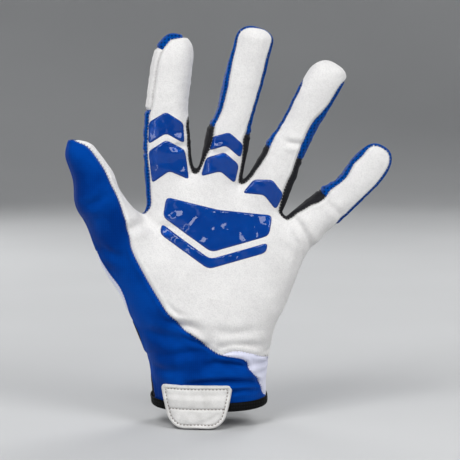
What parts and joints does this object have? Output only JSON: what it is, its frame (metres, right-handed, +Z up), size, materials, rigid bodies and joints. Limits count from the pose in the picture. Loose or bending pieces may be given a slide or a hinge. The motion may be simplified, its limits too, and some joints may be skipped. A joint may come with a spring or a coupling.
{
  "type": "motocross glove",
  "caption": "Full-fingered left-hand motocross glove standing open as if worn, with a suede palm, stretch back, raised grip print, bound cuff and pull tab.",
  "frame": {"origin": "middle of the wrist opening, at the lower edge of the cuff", "axes": "+Z up to the fingertips, -Y the palm side, +X the little-finger side"},
  "size_m": [0.1925, 0.0532, 0.2357],
  "materials": {
    "white_suede": "matt synthetic suede",
    "white_fabric": "smooth knit",
    "blue_stretch": "satin stretch knit",
    "blue_mesh": "fine mesh",
    "black_stretch": "matt stretch knit",
    "black_tape": "woven elastic tape",
    "blue_gel": "glossy raised print",
    "white_leather": "smooth synthetic leather, stitched"
  },
  "bodies": {
    "root": {"palm_panel": "white_suede", "thumb_wrist_panel": "blue_stretch", "wrist_side_panel": "white_fabric", "gusset_index_middle": "black_stretch", "gusset_middle_ring": "black_stretch", "gusset_ring_little": "black_stretch", "index_side_strip": "white_suede", "back_panel": "blue_mesh", "index_back": "blue_mesh", "middle_back": "blue_mesh", "ring_back": "blue_mesh", "little_back": "blue_mesh", "thumb_back": "blue_mesh", "thumb_base_patch": "white_fabric", "back_cuff_panel": "black_stretch", "cuff_binding": "black_tape", "pull_tab": "white_leather", "grip_index_1": "blue_gel", "grip_index_2": "blue_gel", "grip_middle_1": "blue_gel", "grip_middle_2": "blue_gel", "grip_ring_1": "blue_gel", "grip_palm_1": "blue_gel", "grip_palm_2": "blue_gel"}
  },
  "joints": []
}
